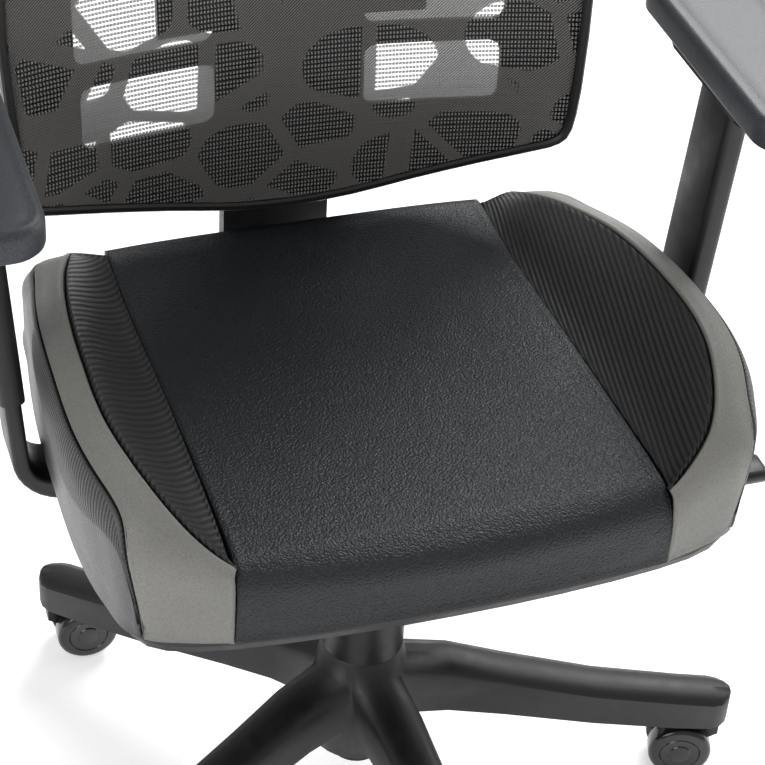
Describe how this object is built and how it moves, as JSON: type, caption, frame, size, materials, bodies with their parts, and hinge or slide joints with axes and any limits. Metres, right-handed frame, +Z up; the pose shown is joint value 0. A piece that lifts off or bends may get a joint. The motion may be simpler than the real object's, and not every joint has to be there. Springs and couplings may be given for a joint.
{
  "type": "gaming chair",
  "caption": "Swivel gaming chair: bolstered leatherette seat, mesh back with headrest and lumbar pad, adjustable arms, gas lift and a star base on casters.",
  "frame": {"origin": "on the floor, on the axis of the gas column, at the middle of the chair's footprint", "axes": "+Z up; the sitter faces -Y; +X is on the sitter's left"},
  "size_m": [0.7478, 0.7742, 1.27],
  "materials": {
    "base_nylon": "fine matt moulded grain",
    "wheel_nylon": "smooth satin moulding",
    "bright_steel": "bright zinc plate",
    "black_steel": "satin black powder coat",
    "control_plastic": "smooth satin moulding",
    "shell_plastic": "fine matt moulded grain",
    "arm_plastic": "fine matt moulded grain",
    "arm_pad_skin": "soft stippled skin",
    "plywood": "bare veneer",
    "black_leatherette": "coated leatherette over foam, fine grain, soft sheen",
    "carbon_leatherette": "coated leatherette embossed with diagonal ribs",
    "grey_leatherette": "coated leatherette, fine grain",
    "back_fabric": "open polyester mesh with a woven cell pattern"
  },
  "bodies": {
    "base": {"base_star": "base_nylon", "gas_tube": "black_steel", "column_cover_lower": "base_nylon"},
    "caster_1": {"caster_body_1": "base_nylon", "caster_stem_1": "bright_steel"},
    "wheels_1": {"caster_wheel_1_a": "wheel_nylon", "caster_wheel_1_b": "wheel_nylon", "caster_axle_1": "bright_steel"},
    "caster_2": {"caster_body_2": "base_nylon", "caster_stem_2": "bright_steel"},
    "wheels_2": {"caster_wheel_2_a": "wheel_nylon", "caster_wheel_2_b": "wheel_nylon", "caster_axle_2": "bright_steel"},
    "caster_3": {"caster_body_3": "base_nylon", "caster_stem_3": "bright_steel"},
    "wheels_3": {"caster_wheel_3_a": "wheel_nylon", "caster_wheel_3_b": "wheel_nylon", "caster_axle_3": "bright_steel"},
    "caster_4": {"caster_body_4": "base_nylon", "caster_stem_4": "bright_steel"},
    "wheels_4": {"caster_wheel_4_a": "wheel_nylon", "caster_wheel_4_b": "wheel_nylon", "caster_axle_4": "bright_steel"},
    "caster_5": {"caster_body_5": "base_nylon", "caster_stem_5": "bright_steel"},
    "wheels_5": {"caster_wheel_5_a": "wheel_nylon", "caster_wheel_5_b": "wheel_nylon", "caster_axle_5": "bright_steel"},
    "cover_middle": {"column_cover_middle": "base_nylon"},
    "piston": {"gas_piston": "bright_steel"},
    "mechanism": {"mechanism_housing": "black_steel", "tilt_pin": "bright_steel", "recline_pin": "bright_steel", "column_cover_upper": "base_nylon"},
    "seat": {"seat_plate": "black_steel", "seat_shell": "shell_plastic", "seat_board": "plywood", "seat_cushion": "black_leatherette", "arm_bracket_left": "arm_plastic", "arm_bracket_right": "arm_plastic"},
    "backrest": {"back_bar": "black_steel", "back_spine": "shell_plastic", "back_shell": "shell_plastic", "back_frame": "shell_plastic", "back_mesh": "back_fabric"},
    "lumbar": {"lumbar_support": "shell_plastic"},
    "headrest_post": {"headrest_stalk": "black_steel"},
    "headrest": {"headrest_shell": "shell_plastic", "headrest_pad": "grey_leatherette"},
    "height_lever": {"height_lever": "control_plastic"},
    "tilt_lever": {"tilt_lever": "control_plastic"},
    "tension_knob": {"tension_knob": "control_plastic"},
    "arm_left": {"arm_sleeve_left": "arm_plastic"},
    "arm_button_left": {"arm_button_left": "control_plastic"},
    "arm_base_left": {"arm_pad_base_left": "arm_plastic"},
    "arm_top_left": {"arm_pad_left": "arm_pad_skin"},
    "arm_right": {"arm_sleeve_right": "arm_plastic"},
    "arm_button_right": {"arm_button_right": "control_plastic"},
    "arm_base_right": {"arm_pad_base_right": "arm_plastic"},
    "arm_top_right": {"arm_pad_right": "arm_pad_skin"}
  },
  "joints": [
    {"name": "caster_swivel_1", "type": "hinge", "parent": "base", "child": "caster_1", "pos_m": [-0.22847, 0.245, 0.062], "axis": [0, 0, 1], "continuous": true},
    {"name": "caster_roll_1", "type": "hinge", "parent": "caster_1", "child": "wheels_1", "pos_m": [-0.20647, 0.245, 0.03], "axis": [0, 1, 0], "continuous": true},
    {"name": "caster_swivel_2", "type": "hinge", "parent": "base", "child": "caster_2", "pos_m": [0.16241, 0.293, 0.062], "axis": [0, 0, 1], "continuous": true},
    {"name": "caster_roll_2", "type": "hinge", "parent": "caster_2", "child": "wheels_2", "pos_m": [0.18308, 0.30052, 0.03], "axis": [-0.342, 0.9397, 0], "continuous": true},
    {"name": "caster_swivel_3", "type": "hinge", "parent": "base", "child": "caster_3", "pos_m": [0.32884, -0.06392, 0.062], "axis": [0, 0, 1], "continuous": true},
    {"name": "caster_roll_3", "type": "hinge", "parent": "caster_3", "child": "wheels_3", "pos_m": [0.30817, -0.0564, 0.03], "axis": [-0.342, -0.9397, 0], "continuous": true},
    {"name": "caster_swivel_4", "type": "hinge", "parent": "base", "child": "caster_4", "pos_m": [0.04083, -0.3325, 0.062], "axis": [0, 0, 1], "continuous": true},
    {"name": "caster_roll_4", "type": "hinge", "parent": "caster_4", "child": "wheels_4", "pos_m": [0.04083, -0.3545, 0.03], "axis": [1, 0, 0], "continuous": true},
    {"name": "caster_swivel_5", "type": "hinge", "parent": "base", "child": "caster_5", "pos_m": [-0.30361, -0.14158, 0.062], "axis": [0, 0, 1], "continuous": true},
    {"name": "caster_roll_5", "type": "hinge", "parent": "caster_5", "child": "wheels_5", "pos_m": [-0.28236, -0.14727, 0.03], "axis": [0.2588, 0.9659, 0], "continuous": true},
    {"name": "seat_height", "type": "slide", "parent": "base", "child": "piston", "axis": [0, 0, 1], "range_m": [-0.06, 0.04]},
    {"name": "cover_extension", "type": "slide", "parent": "base", "child": "cover_middle", "axis": [0, 0, 1], "range_m": [-0.03, 0.02]},
    {"name": "seat_swivel", "type": "hinge", "parent": "piston", "child": "mechanism", "pos_m": [0, 0, 0.335], "axis": [0, 0, 1], "continuous": true},
    {"name": "back_recline", "type": "hinge", "parent": "mechanism", "child": "backrest", "pos_m": [0, 0.06, 0.355], "axis": [-1, 0, 0], "range_deg": [0, 20], "stiffness_Nm_per_rad": 160, "springref_deg": -20.05},
    {"name": "seat_tilt", "type": "hinge", "parent": "mechanism", "child": "seat", "pos_m": [0, -0.085, 0.36], "axis": [-1, 0, 0], "range_deg": [0, 5]},
    {"name": "height_lever_lift", "type": "hinge", "parent": "mechanism", "child": "height_lever", "pos_m": [0.048, -0.06, 0.366], "axis": [0, -1, 0], "range_deg": [0, 5], "stiffness_Nm_per_rad": 3, "springref_deg": -11.46},
    {"name": "tilt_lever_lift", "type": "hinge", "parent": "mechanism", "child": "tilt_lever", "pos_m": [-0.048, -0.06, 0.366], "axis": [0, 1, 0], "range_deg": [0, 5], "stiffness_Nm_per_rad": 3, "springref_deg": -11.46},
    {"name": "tension_knob_turn", "type": "hinge", "parent": "mechanism", "child": "tension_knob", "pos_m": [0, -0.07, 0.3004], "axis": [0, 0, 1], "range_deg": [-360, 360]},
    {"name": "arm_height_left", "type": "slide", "parent": "seat", "child": "arm_left", "axis": [-0.0698, 0, 0.9976], "range_m": [-0.03, 0.05]},
    {"name": "arm_button_press_left", "type": "slide", "parent": "arm_left", "child": "arm_button_left", "axis": [0.9976, 0, 0.0698], "range_m": [0, 0.0015], "stiffness_N_per_m": 600, "springref_m": -0.003},
    {"name": "arm_pad_turn_left", "type": "hinge", "parent": "arm_left", "child": "arm_base_left", "pos_m": [-0.31136, 0.06, 0.69113], "axis": [0, 0, 1], "range_deg": [-20, 20]},
    {"name": "arm_pad_slide_left", "type": "slide", "parent": "arm_base_left", "child": "arm_top_left", "axis": [0, 1, 0], "range_m": [-0.03, 0.03]},
    {"name": "arm_height_right", "type": "slide", "parent": "seat", "child": "arm_right", "axis": [0.0698, 0, 0.9976], "range_m": [-0.03, 0.05]},
    {"name": "arm_button_press_right", "type": "slide", "parent": "arm_right", "child": "arm_button_right", "axis": [-0.9976, 0, 0.0698], "range_m": [0, 0.0015], "stiffness_N_per_m": 600, "springref_m": -0.003},
    {"name": "arm_pad_turn_right", "type": "hinge", "parent": "arm_right", "child": "arm_base_right", "pos_m": [0.31136, 0.06, 0.69113], "axis": [0, 0, 1], "range_deg": [-20, 20]},
    {"name": "arm_pad_slide_right", "type": "slide", "parent": "arm_base_right", "child": "arm_top_right", "axis": [0, 1, 0], "range_m": [-0.03, 0.03]},
    {"name": "lumbar_height", "type": "slide", "parent": "backrest", "child": "lumbar", "axis": [0, 0.1386, 0.9903], "range_m": [-0.025, 0.025]},
    {"name": "headrest_height", "type": "slide", "parent": "backrest", "child": "headrest_post", "axis": [0, 0.1867, 0.9824], "range_m": [-0.01, 0.04]},
    {"name": "headrest_tilt", "type": "hinge", "parent": "headrest_post", "child": "headrest", "pos_m": [0, 0.36895, 1.205], "axis": [-1, 0, 0], "range_deg": [-20, 20]}
  ],
  "couplings": [
    {"joint": "cover_extension", "follows": "seat_height", "ratio": 0.5},
    {"joint": "seat_tilt", "follows": "back_recline", "ratio": 0.25}
  ]
}
